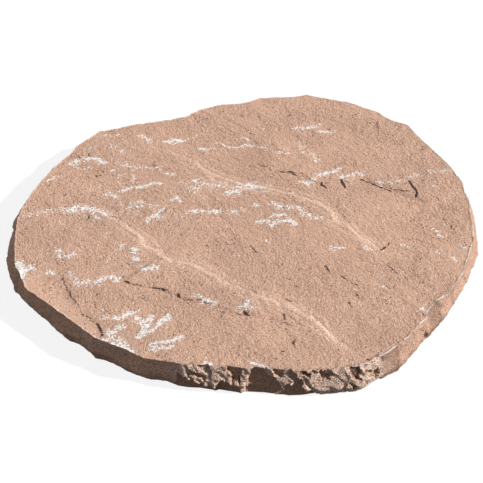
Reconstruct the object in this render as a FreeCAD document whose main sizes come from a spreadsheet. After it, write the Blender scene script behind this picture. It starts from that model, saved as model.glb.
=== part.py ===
"""Riven sandstone stepping stone: one irregular slab with a hammer-dressed edge and a cleft top.

Millimetres, +Z up. The origin lies on the flat bed face, below the middle of the slab's box.
"""
import FreeCAD, Part
import math
import os

import Sketcher

# Driving sizes, in millimetres and degrees
SIZES = {
    "stone_length": 460,     # widest span along X
    "stone_width": 430,      # widest span along Y
    "stone_thickness": 34,   # bed face to the mean level of the cleft face
    "foot_inset": 5,         # outline of the bed face, inside the widest line
    "belly_lift": 10,        # height of the widest line above the bed face
    "shoulder_drop": 11,     # the line where the edge turns in to the rim, below the cleft face
    "shoulder_dip": 0.7,     # slope of that line along the stone, in degrees
    "shoulder_inset": 2,     # that line, inside the widest one
    "rim_inset_ends": 8,     # rim of the cleft face, inside the widest line, at the two ends
    "rim_inset_sides": 3,    # the same at the front and back
    "rim_overhang": 11,      # how far the rim hangs out at most, on the left of the front
    "edge_chip": 3,          # how unevenly the hammer has bitten into the edge
    "flake_radius": 50,      # hollow left by a large flake
    "flake_bite": 3.5,       # its depth
    "rim_flake_lean": 14,    # how far a flake below the rim leans up, in degrees
    "foot_flake_lean": 30,   # how far a flake above the foot leans down, in degrees
    "layer_rise": 1.8,       # height of a broken layer's edge on the cleft face
    "layer_riser": 10,       # breadth of the slope at that edge
    "layer_fade": 65,        # how far behind its edge the layer dies away
    "swell_height": 1.2,     # height of the slow waves of the cleft face
    "swell_span": 240,       # length of the first from crest to crest
    "second_swell_span": 340,  # length of the second
}

# Corners between the hammered runs of the outline, anticlockwise from the right-hand end,
# in hundredths of half the length and half the width
CORNERS = (
    (99, -13), (100, 12), (98, 29), (93, 41), (84, 60), (77, 73), (63, 86),
    (50, 94), (30, 100), (21, 98), (6, 97), (-8, 92), (-22, 86), (-28, 80),
    (-50, 75), (-67, 69), (-76, 57), (-85, 40), (-94, 20), (-99, 1), (-100, -17),
    (-97, -34), (-89, -46), (-73, -65), (-60, -79), (-50, -84), (-39, -90), (-23, -96),
    (1, -99), (23, -100), (45, -98), (62, -85), (75, -67), (84, -52), (91, -36),
)
FULL = 100

# Corners where the rim hangs out over the foot, and the share of the overhang at each
OVERHANGS = {22: 1, 23: 0.4, 24: 0.1, 25: 0.6, 26: 0.7}

# Runs of the outline that lost a large flake from the upper or the lower part of the edge
RIM_FLAKE_RUNS = (5, 10, 16, 28, 32)
FOOT_FLAKE_RUNS = (3, 14, 19, 23, 24, 26, 30)

# Broken edges of the layers on the cleft face, on the same hundredths.
# The layer stands proud on that hand of someone who walks along its edge.
LAYER_EDGES = (
    ("right", ((-53, 67), (-25, 45), (-2, 25), (23, 16), (37, 4), (46, -11), (56, -22))),
    ("right", ((-79, 12), (-56, 0), (-36, -27), (-22, -32), (5, -53), (28, -68), (46, -92))),
    ("left", ((-50, -40), (-32, -50), (-13, -57), (14, -67))),
    ("left", ((-77, -30), (-66, -58), (-55, -77))),
    ("left", ((0, 39), (24, 33), (44, 29), (73, 20), (89, 10))),
)
LAYER_TAPER = 0.2     # share of an edge over which it rises at one end and sinks at the other
CLEFT_POINTS = 36     # points that carry the cleft face, along each side of its square
CLEFT_MARGIN = 1.06   # the cleft reaches this far past the stone's box
SWELL_SLANTS = (0.5, -0.4)   # how far each slow wave leans across the stone
GOLDEN_STEP = 0.618
# Where each line of the edge starts in the unrepeating row of hammer blows
BLOWS = {"foot": 5, "belly": 0, "shoulder": 17, "rim": 23}
WIDEST = "belly"
RIM = "rim"
SHOULDER_LIFT = "(Sizes.stone_thickness - Sizes.shoulder_drop)"


def wander(index):
    """An even but unrepeating share from 0 to 1, so that no two blows fall alike."""
    return round(index * GOLDEN_STEP % 1, 3)


def make_sheet(doc):
    sheet = doc.addObject("Spreadsheet::Sheet", "Sizes")
    for row, (alias, value) in enumerate(SIZES.items(), start=1):
        sheet.set(f"A{row}", alias)
        sheet.set(f"B{row}", str(value))
        sheet.setAlias(f"B{row}", alias)
    doc.recompute()
    return sheet


def ring_sketch(body, name, height, inset_x, inset_y):
    """The hammered outline at one height, one straight line for each run, drawn in by the insets.

    Each corner is also bitten in by its own share of edge_chip, apart from those corners of the
    widest line that touch the stone's box. Some corners of the rim hang out.
    """
    sketch = body.newObject("Sketcher::SketchObject", name)
    plane = next(item for item in body.Origin.OriginFeatures if item.Role == "XY_Plane")
    sketch.AttachmentSupport = [(plane, "")]
    sketch.MapMode = "FlatFace"
    sketch.setExpression("AttachmentOffset.Base.z", height)
    points = [FreeCAD.Vector(across, along, 0) for across, along in CORNERS]
    runs = zip(points, points[1:] + points[:1])
    sketch.addGeometry([Part.LineSegment(start, end) for start, end in runs], False)
    for line in range(len(CORNERS)):
        follower = (line + 1) % len(CORNERS)
        sketch.addConstraint(Sketcher.Constraint("Coincident", line, 2, follower, 1))
    for line, corner in enumerate(CORNERS):
        whole = name == WIDEST and FULL in (abs(corner[0]), abs(corner[1]))
        chip = f"{0 if whole else wander(line + BLOWS[name])} * Sizes.edge_chip"
        overhang = OVERHANGS.get(line, 0) if name == RIM else 0
        spans = (("DistanceX", "stone_length", inset_x), ("DistanceY", "stone_width", inset_y))
        for (rule, span, inset), hundredths in zip(spans, corner):
            constraint = Sketcher.Constraint(rule, -1, 1, line, 1, hundredths)
            index = sketch.addConstraint(constraint)
            reach = f"Sizes.{span} / 2 - {inset} - {chip} + {overhang} * Sizes.rim_overhang"
            sketch.setExpression(f"Constraints[{index}]", f"{hundredths / FULL} * ({reach})")
    return sketch


def broken_edge(doc, body):
    """The slab between its bed face and a flat top, with the facets of the broken edge."""
    foot = ring_sketch(body, "foot", "0", "Sizes.foot_inset", "Sizes.foot_inset")
    belly = ring_sketch(body, WIDEST, "Sizes.belly_lift", "0", "0")
    inset = "Sizes.shoulder_inset"
    shoulder = ring_sketch(body, "shoulder", SHOULDER_LIFT, inset, inset)
    tilt = FreeCAD.Rotation(FreeCAD.Vector(0, 1, 0), SIZES["shoulder_dip"])
    shoulder.AttachmentOffset = FreeCAD.Placement(FreeCAD.Vector(), tilt)
    shoulder.setExpression("AttachmentOffset.Rotation.Angle", "Sizes.shoulder_dip")
    top = "Sizes.stone_thickness + Sizes.layer_rise + Sizes.swell_height"
    rim = ring_sketch(body, RIM, top, "Sizes.rim_inset_ends", "Sizes.rim_inset_sides")
    doc.recompute()
    loft = body.newObject("PartDesign::AdditiveLoft", "broken_edge")
    loft.Profile = foot
    loft.Sections = [belly, shoulder, rim]
    loft.Ruled = True
    doc.recompute()


def strike(body, run, edge):
    """A large flake: a ball-shaped hollow in the middle of a run, leaning to the rim or the foot."""
    (x_start, y_start), (x_end, y_end) = CORNERS[run], CORNERS[(run + 1) % len(CORNERS)]
    aim = math.atan2(x_start - x_end, y_end - y_start)
    lift, inset, side = {
        "rim": (SHOULDER_LIFT, "Sizes.shoulder_inset", 1),
        "foot": ("Sizes.belly_lift", "0", -1),
    }[edge]
    reach = "(Sizes.flake_radius - Sizes.flake_bite)"
    lean = f"Sizes.{edge}_flake_lean * 1 deg"
    flake = body.newObject("PartDesign::SubtractiveSphere", f"{edge}_flake")
    flake.setExpression("Radius", "Sizes.flake_radius")
    flake.setExpression(
        "Placement.Base.x",
        f"{(x_start + x_end) / 2 / FULL} * (Sizes.stone_length / 2 - {inset})"
        f" + {math.cos(aim)} * {reach} * cos({lean})",
    )
    flake.setExpression(
        "Placement.Base.y",
        f"{(y_start + y_end) / 2 / FULL} * (Sizes.stone_width / 2 - {inset})"
        f" + {math.sin(aim)} * {reach} * cos({lean})",
    )
    flake.setExpression("Placement.Base.z", f"{lift} + {side} * {reach} * sin({lean})")


def make_slab(doc):
    body = doc.addObject("PartDesign::Body", "slab")
    broken_edge(doc, body)
    for run in RIM_FLAKE_RUNS:
        strike(body, run, "rim")
    for run in FOOT_FLAKE_RUNS:
        strike(body, run, "foot")
    doc.recompute()
    return body


def nearest_on_edge(point, line):
    """Distance from a point to a layer's edge, positive on the left, and how far along it is."""
    lengths = [start.distanceToPoint(end) for start, end in zip(line, line[1:])]
    best = None
    before = 0
    for start, end, length in zip(line, line[1:], lengths):
        along = (end - start) / length
        travel = min(max((point - start).dot(along), 0), length)
        gap = point - (start + along * travel)
        if best is None or gap.Length < abs(best[0]):
            hand = 1 if along.cross(point - start).z >= 0 else -1
            best = (hand * gap.Length, (before + travel) / sum(lengths))
        before += length
    return best


def smooth(share):
    share = min(max(share, 0), 1)
    return share * share * (3 - 2 * share)


def layer_height(sheet, point, hand, line):
    """A broken layer stands up at its edge, dies away behind it and tapers out at both ends."""
    gap, along = nearest_on_edge(point, line)
    inward = gap if hand == "left" else -gap
    taper = smooth(min(along, 1 - along) / LAYER_TAPER)
    riser = smooth(0.5 + inward / sheet.layer_riser)
    return sheet.layer_rise * taper * riser * math.exp(-max(inward, 0) / sheet.layer_fade)


def swell(sheet, point):
    """Two slow waves that cross the stone at a slant."""
    first_slant, second_slant = SWELL_SLANTS
    first = math.sin(math.tau * (point.x + first_slant * point.y) / sheet.swell_span)
    second = math.cos(math.tau * (point.y + second_slant * point.x) / sheet.second_swell_span)
    return sheet.swell_height / 2 * (first + second)


def make_overburden(doc, sheet):
    """The rock that was split away, whose lower side is the cleft face."""
    half = FreeCAD.Vector(sheet.stone_length / 2, sheet.stone_width / 2, 0)
    layers = [
        (hand, [FreeCAD.Vector(x / FULL * half.x, y / FULL * half.y, 0) for x, y in line])
        for hand, line in LAYER_EDGES
    ]
    shares = [CLEFT_MARGIN * (2 * i / (CLEFT_POINTS - 1) - 1) for i in range(CLEFT_POINTS)]
    rows = []
    for share_x in shares:
        row = []
        for share_y in shares:
            point = FreeCAD.Vector(share_x * half.x, share_y * half.y, 0)
            raised = sum(layer_height(sheet, point, hand, line) for hand, line in layers)
            level = sheet.stone_thickness - sheet.layer_rise / 2 + swell(sheet, point) + raised
            row.append(point + FreeCAD.Vector(0, 0, level))
        rows.append(row)
    cleft = Part.BSplineSurface()
    cleft.interpolate(rows)
    overburden = doc.addObject("Part::Feature", "overburden")
    overburden.Shape = cleft.toShape().extrude(FreeCAD.Vector(0, 0, sheet.stone_thickness))
    return overburden


def check(doc, part):
    for item in doc.Objects:
        if {"Invalid", "Error"} & set(item.State):
            raise RuntimeError(f"{item.Label} failed: {item.State}")
    if part.Shape.isNull() or not part.Shape.isValid() or len(part.Shape.Solids) != 1:
        raise RuntimeError(f"{part.Label} is not one valid solid")


def main():
    doc = FreeCAD.newDocument("stepping_stone")
    sheet = make_sheet(doc)
    stone = doc.addObject("Part::Cut", "stone")
    stone.Label = "stepping_stone"
    stone.Base = make_slab(doc)
    stone.Tool = make_overburden(doc, sheet)
    doc.recompute()
    check(doc, stone)
    os.makedirs("parts", exist_ok=True)
    stone.Shape.exportStep(f"parts/{stone.Label}.step")
    print(f"{stone.Label}: {stone.Shape.Volume / 1e6:.3f} litres, {len(stone.Shape.Faces)} faces")


main()
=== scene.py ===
# %% [markdown]
# # A riven sandstone stepping stone
# The real thing is one slab of sandstone. It was split along its bedding, which left a cleft
# walking face with the edges of broken layers on it, and then trimmed round with a hammer, which
# left an edge of flake scars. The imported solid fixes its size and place. This lesson lays a finer
# surface of the same slab over it, worked out as whole arrays, and then gives it its finish.

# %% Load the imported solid
import itertools
import math

import bpy
import numpy as np
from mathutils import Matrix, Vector


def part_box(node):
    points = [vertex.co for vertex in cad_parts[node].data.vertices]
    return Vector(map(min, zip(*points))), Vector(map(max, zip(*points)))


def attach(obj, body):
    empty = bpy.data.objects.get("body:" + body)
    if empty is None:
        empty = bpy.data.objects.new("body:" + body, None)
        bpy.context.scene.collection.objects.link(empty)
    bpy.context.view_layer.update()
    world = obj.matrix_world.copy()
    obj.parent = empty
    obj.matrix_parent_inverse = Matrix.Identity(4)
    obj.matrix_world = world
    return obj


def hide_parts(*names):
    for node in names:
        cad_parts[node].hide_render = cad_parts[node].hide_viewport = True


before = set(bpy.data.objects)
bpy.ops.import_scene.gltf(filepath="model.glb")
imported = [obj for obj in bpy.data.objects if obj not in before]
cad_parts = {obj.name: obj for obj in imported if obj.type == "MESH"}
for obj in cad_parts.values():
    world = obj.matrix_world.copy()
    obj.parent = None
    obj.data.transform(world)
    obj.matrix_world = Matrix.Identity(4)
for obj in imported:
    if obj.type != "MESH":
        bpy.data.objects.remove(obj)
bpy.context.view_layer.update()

NODE = "stepping_stone"
MM = 0.001
lowest, highest = (np.array(corner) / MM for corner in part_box(NODE))
HALF_SPANS = (highest - lowest)[:2] / 2
TOP_OF_BOX = highest[2]
print(f"solid: {2 * HALF_SPANS[0]:.0f} by {2 * HALF_SPANS[1]:.0f} by {TOP_OF_BOX:.1f} mm")

# %% [markdown]
# ## The camera
# The slab was seen from standing height, from the front and about 40 degrees above the ground. A
# long lens far away keeps its outline from spreading at the front. The lens is worked out from how
# many pixels a metre of stone takes at the aim, so the picture can be checked with a ruler.

# %% Camera
FRAME_PIXELS = 483
PIXELS_PER_METRE = 1032
ELEVATION = math.radians(40)
DISTANCE = 1.6
AIM = Vector((-2.2, -17.2, 17.6)) * MM

backwards = Vector((0, -math.cos(ELEVATION), math.sin(ELEVATION)))
lens_data = bpy.data.cameras.new("viewer")
lens_data.lens = lens_data.sensor_width * PIXELS_PER_METRE * DISTANCE / FRAME_PIXELS
viewer = bpy.data.objects.new("viewer", lens_data)
viewer.location = AIM + backwards * DISTANCE
viewer.rotation_euler = (-backwards).to_track_quat("-Z", "Y").to_euler()
bpy.context.collection.objects.link(viewer)
bpy.context.scene.camera = viewer
bpy.context.scene.view_settings.view_transform = "Standard"
print(f"camera: lens {lens_data.lens:.1f} mm at {DISTANCE} m")

# %% [markdown]
# ## Nodes and colours
# Every finish below is a small graph of nodes. One function adds a node, sets it and links it, and
# another turns a colour as it is seen on a screen into the linear light that a shader works with.

# %% One function for nodes, one for colours
def add(tree, kind, inputs=None, **settings):
    """Adds one node: settings are its properties, inputs give each socket a value or a link. A node
    that is given as an input stands for its first output."""
    node = tree.nodes.new(kind)
    for name, value in settings.items():
        setattr(node, name, value)
    for socket, value in (inputs or {}).items():
        source = value.outputs[0] if isinstance(value, bpy.types.Node) else value
        if isinstance(source, bpy.types.NodeSocket):
            tree.links.new(source, node.inputs[socket])
        else:
            node.inputs[socket].default_value = source
    return node


def linear(code):
    """Linear colour of a hex code: below 0.04045 a share of 12.92, above it a power of 2.4."""
    seen = np.array([int(code[i:i + 2], 16) for i in (1, 3, 5)]) / 255
    light = np.where(seen <= 0.04045, seen / 12.92, ((seen + 0.055) / 1.055) ** 2.4)
    return (*light.tolist(), 1.0)


print("sandstone's mid tone in linear light:", [round(share, 3) for share in linear("#c9a28c")])

# %% [markdown]
# ## Light
# A low lamp on the right skims the cleft, so that a slope of a few degrees already shows. A weak
# grey sky fills the shade, and a faint, broad lamp close to the ground on the left keeps the broken
# edge there from going black. Lamps of a room would fade across the slab, so both are suns, which
# light every part of it alike. All together they light a level face at about 1, so a colour comes
# out as it was written.

# %% Lamps
# Height, turn from the right and spread of each lamp in degrees, and its strength
LAMPS = {"key": (36, -13, 2, 4.4), "fill": (8, 165, 40, 0.38)}

for name, (lift, turn, spread, strength) in LAMPS.items():
    up, aside = math.radians(lift), math.radians(turn)
    towards = Vector((math.cos(up) * math.cos(aside), math.cos(up) * math.sin(aside), math.sin(up)))
    lamp_data = bpy.data.lights.new(name, "SUN")
    lamp_data.energy = strength
    lamp_data.angle = math.radians(spread)
    lamp = bpy.data.objects.new(name, lamp_data)
    lamp.rotation_euler = (-towards).to_track_quat("-Z", "Y").to_euler()
    bpy.context.collection.objects.link(lamp)
    print(f"{name} lamp: {lift} degrees up, strength {strength}")

# %% Sky
SKY_STRENGTH = 0.21
SKY_TINT = (0.95, 1.0, 1.08, 1)
WHITE = (1, 1, 1, 1)


def seen_directly(tree):
    """1 for a ray from the camera, or one that a mirror or a glass passes on, 0 for the rest."""
    path = add(tree, "ShaderNodeLightPath").outputs
    mirrored = add(tree, "ShaderNodeMath", {0: path["Is Camera Ray"], 1: path["Is Glossy Ray"]},
                   operation="MAXIMUM")
    return add(tree, "ShaderNodeMath", {0: mirrored, 1: path["Is Transmission Ray"]},
               operation="MAXIMUM")


world = bpy.data.worlds.new("grey_sky")
world.use_nodes = True
tree = world.node_tree
tree.nodes.clear()
sky = add(tree, "ShaderNodeBackground", {"Color": SKY_TINT, "Strength": SKY_STRENGTH})
backdrop = add(tree, "ShaderNodeBackground", {"Color": WHITE, "Strength": 1.0})
either = add(tree, "ShaderNodeMixShader", {0: seen_directly(tree), 1: sky, 2: backdrop})
add(tree, "ShaderNodeOutputWorld", {"Surface": either})
bpy.context.scene.world = world
print(f"grey sky at {SKY_STRENGTH}, white where it is seen")

# %% [markdown]
# ## Floor
# The slab lies on a pale floor that keeps its shadow. Pale paint would throw so much light back
# that the broken edge on the left, which is nearly dark, would brighten. So the paint is a dark
# grey, and it glows, but only for the camera.

# %% Floor
FLOOR_SIZE = 12.0
FLOOR_GREY = 0.15
FLOOR_GLOW = 0.87

# Matte wall paint, rolled on: it scatters light evenly, so that the eye sees no gloss at all
floor_paint = bpy.data.materials.new("matte_floor_paint")
floor_paint.use_nodes = True
tree = floor_paint.node_tree
tree.nodes.clear()
paint = add(tree, "ShaderNodeBsdfDiffuse", {"Color": (FLOOR_GREY, FLOOR_GREY, FLOOR_GREY, 1)})
share = add(tree, "ShaderNodeMath", {0: seen_directly(tree), 1: FLOOR_GLOW}, operation="MULTIPLY")
glow = add(tree, "ShaderNodeEmission", {"Strength": share})
both = add(tree, "ShaderNodeAddShader", {0: paint, 1: glow})
add(tree, "ShaderNodeOutputMaterial", {"Surface": both})

corners = np.array([(-1, -1, 0), (1, -1, 0), (1, 1, 0), (-1, 1, 0)]) * FLOOR_SIZE / 2
floor_mesh = bpy.data.meshes.new("floor")
floor_mesh.from_pydata(corners.tolist(), [], [(0, 1, 2, 3)])
floor_mesh.materials.append(floor_paint)
floor = bpy.data.objects.new("floor", floor_mesh)
bpy.context.collection.objects.link(floor)
print(f"floor {FLOOR_SIZE:.0f} m square")

# %% [markdown]
# ## The outline and its four lines
# A hammer takes a slab round in straight runs, one for each blow. A smooth curve would look sawn,
# so the outline is a list of corners. It is drawn at four heights: the foot on the ground, the
# belly where the slab is widest, the shoulder, and the rim of the cleft face. Each line stands a
# little inside the belly, and each blow bites its corner in by its own share.

# %% Corners and lines of the edge
# In percent of the half spans, anticlockwise from the right
CORNERS = np.array([
    (99, -13), (100, 12), (98, 29), (93, 41), (84, 60), (77, 73), (63, 86),
    (50, 94), (30, 100), (21, 98), (6, 97), (-8, 92), (-22, 86), (-28, 80),
    (-50, 75), (-67, 69), (-76, 57), (-85, 40), (-94, 20), (-99, 1), (-100, -17),
    (-97, -34), (-89, -46), (-73, -65), (-60, -79), (-50, -84), (-39, -90), (-23, -96),
    (1, -99), (23, -100), (45, -98), (62, -85), (75, -67), (84, -52), (91, -36),
]) / 100
# The deepest bite, mm, and the step from one blow's share of it to the next
EDGE_CHIP = 3
GOLDEN_STEP = 0.618
# Heights in mm; the shoulder dips to the right
THICKNESS = 34
BELLY_LIFT = 10
SHOULDER_LIFT = 23
SHOULDER_DIP = math.radians(0.7)
RIM_LIFT = 37


def line_corners(insets, first_blow, whole=False):
    """Corners of one line, mm: each takes its share of the half spans, less insets and chip.

    The chip is an unrepeating share of EDGE_CHIP. A whole line keeps the corners on the box.
    """
    blows = np.arange(len(CORNERS)) + first_blow
    chip = np.round(blows * GOLDEN_STEP % 1, 3) * EDGE_CHIP
    if whole:
        chip[np.abs(CORNERS).max(axis=1) == 1] = 0
    return CORNERS * (HALF_SPANS - np.array(insets) - chip[:, None])


# How much further out the rim and the belly stand at some corners, mm: at the left of the front the
# rim hangs over, and at the right of it the rim draws back less than elsewhere
RIM_REACH = {20: -5, 21: -1, 22: 11, 23: 4, 24: 1, 25: 6.5, 26: 7.5, 27: 1, 28: -1.5,
             32: 1.5, 33: 3.5, 34: 4.5}
BELLY_REACH = {17: 2, 18: 1.5, 19: 0.5, 27: 1, 28: -1.5, 31: -2.5, 32: -3, 33: -2}


def moved_out(line, reaches):
    """Corners moved along the bisector of their two runs, but never out of the box."""
    chord = np.roll(line, -1, axis=0) - np.roll(line, 1, axis=0)
    chord /= np.linalg.norm(chord, axis=1, keepdims=True)
    reach = np.zeros((len(line), 1))
    reach[list(reaches), 0] = list(reaches.values())
    out = np.stack([chord[:, 1], -chord[:, 0]], axis=1)
    return np.clip(line + reach * out, -HALF_SPANS, HALF_SPANS)


# Insets across and along the slab, mm, and the blow that each line's bites start from
FOOT = line_corners((5, 5), 5)
BELLY = moved_out(line_corners((0, 0), 0, whole=True), BELLY_REACH)
SHOULDER = moved_out(line_corners((2, 2), 17), BELLY_REACH)
RIM = moved_out(line_corners((8, 3), 23), RIM_REACH)
print(f"{len(CORNERS)} runs round the edge, belly {np.ptp(BELLY, axis=0).round(1)} mm")

# %% [markdown]
# ## Uneven ground: one noise
# Everything that nature left uneven is made from one noise: a random slope at each corner of a
# box of space, blended smoothly between the corners. A Displace modifier could push the mesh about
# too, but here the edge and the wear have to know the same heights. The noise takes whole arrays
# of points, and gives the same values on every run.

# %% Gradient noise
TABLE_SIZE = 256
NOISE_GAIN = 1.5


def unevenness(points, span, seed):
    """Noise from about -1 to 1: slopes at the corners of cells span mm wide, smoothly blended."""
    draw = np.random.default_rng(seed)
    slopes = draw.normal(size=(TABLE_SIZE, 3))
    slopes /= np.linalg.norm(slopes, axis=1, keepdims=True)
    shuffle = draw.permutation(TABLE_SIZE)
    scaled = points / span
    cell = np.floor(scaled).astype(int)
    inner = scaled - cell
    blend = inner ** 3 * (inner * (6 * inner - 15) + 10)
    total = np.zeros(points.shape[:-1])
    for corner in itertools.product((0, 1), repeat=3):
        x, y, z = np.moveaxis((cell + corner) % TABLE_SIZE, -1, 0)
        pick = shuffle[(shuffle[(shuffle[x] + y) % TABLE_SIZE] + z) % TABLE_SIZE]
        weight = np.prod(np.where(corner, blend, 1 - blend), axis=-1)
        total += weight * np.sum(slopes[pick] * (inner - corner), axis=-1)
    return NOISE_GAIN * total


def drawn_out(points, heading, stretch):
    """Points as seen by a pattern that is stretched along a heading on the ground, in degrees."""
    turn = math.radians(heading)
    along = points[..., 0] * math.cos(turn) + points[..., 1] * math.sin(turn)
    across = points[..., 1] * math.cos(turn) - points[..., 0] * math.sin(turn)
    return np.stack([along / stretch, across, points[..., 2]], axis=-1)


trial = unevenness(np.random.default_rng(1).uniform(0, 400, (4000, 3)), 10, 1)
print(f"noise runs from {trial.min():.2f} to {trial.max():.2f}")

# %% [markdown]
# ## Broken layers
# Sandstone splits along its bedding, but never along one layer: where the split jumps from one
# layer to the next, it leaves a small riser that wanders across the face. It could be sculpted by
# hand, but a line of points with the proud layer on one hand is easier to move and to measure.

# %% Broken layers
# Each layer: the hand that its proud side is on, its rise and the breadth of its riser in mm, the
# share of its line over which it sets in, and its places in percent of the half spans
LAYER_EDGES = (
    ("right", 2.8, 7, 0.42, (
        (-53, 67), (-37, 53), (-25, 45), (-12, 31), (-2, 25), (9, 21), (23, 16), (32, 9), (37, 4),
        (39, -3), (46, -11), (56, -22), (63, -30))),
    ("right", 2.8, 7, 0.25, (
        (-79, 12), (-65, 7), (-56, 0), (-44, -12), (-36, -27), (-30, -31), (-22, -32), (-10, -42),
        (5, -53), (18, -59), (28, -68), (39, -84), (46, -92))),
    ("left", 1.5, 2.5, 0.12, (
        (-50, -40), (-48, -45), (-35, -49), (-22, -56), (-12, -58), (8, -66), (17, -67))),
    ("left", 0.6, 2.5, 0.12, ((-76, -36), (-72, -46), (-64, -59), (-57, -71), (-54, -79))),
    ("left", 1.7, 2.5, 0.12, (
        (-1, 38), (16, 35), (24, 32), (33, 25), (43, 27), (51, 29), (63, 21), (75, 15), (89, 7))),
)
# A broad riser is a few thin beds broken side by side: share of the rise, of the breadth, and place
STRANDS = ((0.25, 0.4, -7), (0.6, 0.55, 0), (0.25, 0.4, 7))
BROAD_RISER = 5
# Share of the line over which a layer runs out, and the mm behind its edge over which it dies away
LAYER_TAPER = 0.12
LAYER_FADE = 60
# Span and reach in mm of the noise that makes a line wander
WOBBLE_SPAN = 22
WOBBLE = 4


def on_ground(x, y):
    """Places on the ground: x and y with no height."""
    return np.stack([x, y, np.zeros_like(x)], axis=-1)


def smooth_step(share):
    """Eases from 0 to 1: three squares less two cubes of the share."""
    share = np.clip(share, 0, 1)
    return share * share * (3 - 2 * share)


def beside_line(x, y, line):
    """Distance to a line of points, positive on its left, and the share of the line passed, both by
    the nearest of its straight pieces."""
    start, end = line[:-1], line[1:]
    length = np.linalg.norm(end - start, axis=1)
    way = (end - start) / length[:, None]
    passed = np.concatenate([[0], np.cumsum(length)[:-1]])
    dx, dy = x[..., None] - start[:, 0], y[..., None] - start[:, 1]
    travel = np.clip(dx * way[:, 0] + dy * way[:, 1], 0, length)
    gap = np.hypot(dx - travel * way[:, 0], dy - travel * way[:, 1])
    side = np.where(way[:, 0] * dy - way[:, 1] * dx >= 0, 1, -1)
    nearest = np.argmin(gap, axis=-1)[..., None]
    beside, along = (np.take_along_axis(values, nearest, axis=-1)[..., 0]
                     for values in (side * gap, passed + travel))
    return beside, along / length.sum()


def wobbled(x, y, reach, span, seed):
    """Places pushed about by noise, so that a line drawn on them wanders."""
    push = [reach * unevenness(on_ground(x, y), span, seed + axis) for axis in (0, 1)]
    return x + push[0], y + push[1]


def strands_of(x, y, hand, rise, riser, onset, line):
    """Each bed of a broken layer: how far a place lies behind its edge, its taper, rise and
    breadth. Every bed wanders by its own noise, so that they part and meet."""
    strands = STRANDS if riser > BROAD_RISER else ((1, 1, 0),)
    for number, (share, breadth, offset) in enumerate(strands):
        slow = wobbled(x, y, WOBBLE, WOBBLE_SPAN, seed=11 + 4 * number)
        wander = wobbled(*slow, WOBBLE / 3, WOBBLE_SPAN / 3, seed=81)
        gap, passed = beside_line(*wander, np.array(line) / 100 * HALF_SPANS)
        inward = (gap if hand == "left" else -gap) - offset
        taper = smooth_step(np.minimum(passed / onset, (1 - passed) / LAYER_TAPER))
        yield inward, taper, share * rise, breadth * riser


def layer_height(x, y, layer):
    """A broken layer: each bed stands up at its edge, dies away behind it by an exponent, and
    tapers out at both ends."""
    return sum(rise * taper * smooth_step(0.5 + inward / riser)
               * np.exp(-np.maximum(inward, 0) / LAYER_FADE)
               for inward, taper, rise, riser in strands_of(x, y, *layer))


print(f"{len(LAYER_EDGES)} broken layers, {sum(layer[1] for layer in LAYER_EDGES):.1f} mm in all")

# %% [markdown]
# ## The cleft face
# Two slow waves carry the whole face, thin laminations break out of it in contour lines, and
# ripples of sand run across at a slant. Each could be a modifier of its own, but as one function of
# the place on the ground they can be asked by the rim and by the face alike.

# %% Waves, layers, laminations and ripples
# How far the middle of the face lies below the slab's nominal thickness, mm
FACE_DROP = 0.9
SWELL_HEIGHT = 1.2
SWELL_SPANS = (240, 340)
SWELL_SLANTS = (0.5, -0.4)
# Headings on the ground in degrees
BEDDING_HEADING = -33
RIPPLE_HEADING = -62
# Height of a lamination in mm, span in mm and stretch of the noise whose contours they follow, how
# many contours it has, and the share of a tread that the riser takes
LAMINATION_STEP = 0.55
LAMINATION_SPAN = 70
LAMINATION_STRETCH = 2.2
LAMINATION_COUNT = 5
LAMINATION_RISER = 0.08
# Laminations show in patches: their span in mm, their mean share, and how sharply it changes
PATCH_SPAN = 110
PATCH_SHARE = 0.6
PATCH_CONTRAST = 1.8
# Span across in mm, depth in mm, stretch and heading of each kind of roughness
ROUGHNESS = ((42, 0.8, 1.6, BEDDING_HEADING), (15, 0.8, 2.0, RIPPLE_HEADING),
             (7, 0.6, 1.8, RIPPLE_HEADING), (4, 0.4, 1.5, RIPPLE_HEADING))
# How much deeper the roughness gets towards the right, from where and over how many mm
RIGHT_MORE = 0.6
RIGHT_FROM = 100
RIGHT_EASE = 80
PROBE_SHARE = 0.7


def cleft_level(x, y):
    """Height of the walking face: mean level, two slow waves, broken layers and laminations, less
    the roughness, which only takes away."""
    ground = on_ground(x, y)
    first = np.sin(math.tau * (x + SWELL_SLANTS[0] * y) / SWELL_SPANS[0])
    second = np.cos(math.tau * (y + SWELL_SLANTS[1] * x) / SWELL_SPANS[1])
    level = THICKNESS - FACE_DROP + SWELL_HEIGHT / 2 * (first + second)
    for layer in LAYER_EDGES:
        level = level + layer_height(x, y, layer)
    bedding = drawn_out(ground, BEDDING_HEADING, LAMINATION_STRETCH)
    bed = LAMINATION_COUNT * unevenness(bedding, LAMINATION_SPAN, 25)
    tread = np.floor(bed)
    stepped = tread + smooth_step((bed - tread) / LAMINATION_RISER)
    patches = smooth_step(PATCH_SHARE + PATCH_CONTRAST * unevenness(ground, PATCH_SPAN, 26))
    level = level + LAMINATION_STEP * patches * (stepped - bed)
    more = 1 + RIGHT_MORE * smooth_step((x - RIGHT_FROM) / RIGHT_EASE)
    for seed, (span, depth, stretch, heading) in enumerate(ROUGHNESS, start=31):
        bumps = unevenness(drawn_out(ground, heading, stretch), span, seed)
        level = level - depth * more * (0.5 + 0.5 * bumps)
    return np.minimum(level, TOP_OF_BOX)


probe = np.linspace(-PROBE_SHARE, PROBE_SHARE, 41)
probe_x, probe_y = np.meshgrid(probe * HALF_SPANS[0], probe * HALF_SPANS[1])
probe_level = cleft_level(probe_x, probe_y)
print(f"cleft face from {probe_level.min():.1f} to {probe_level.max():.1f} mm, "
      f"{np.mean(probe_level == TOP_OF_BOX):.1%} of it held at the top of the box")

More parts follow.
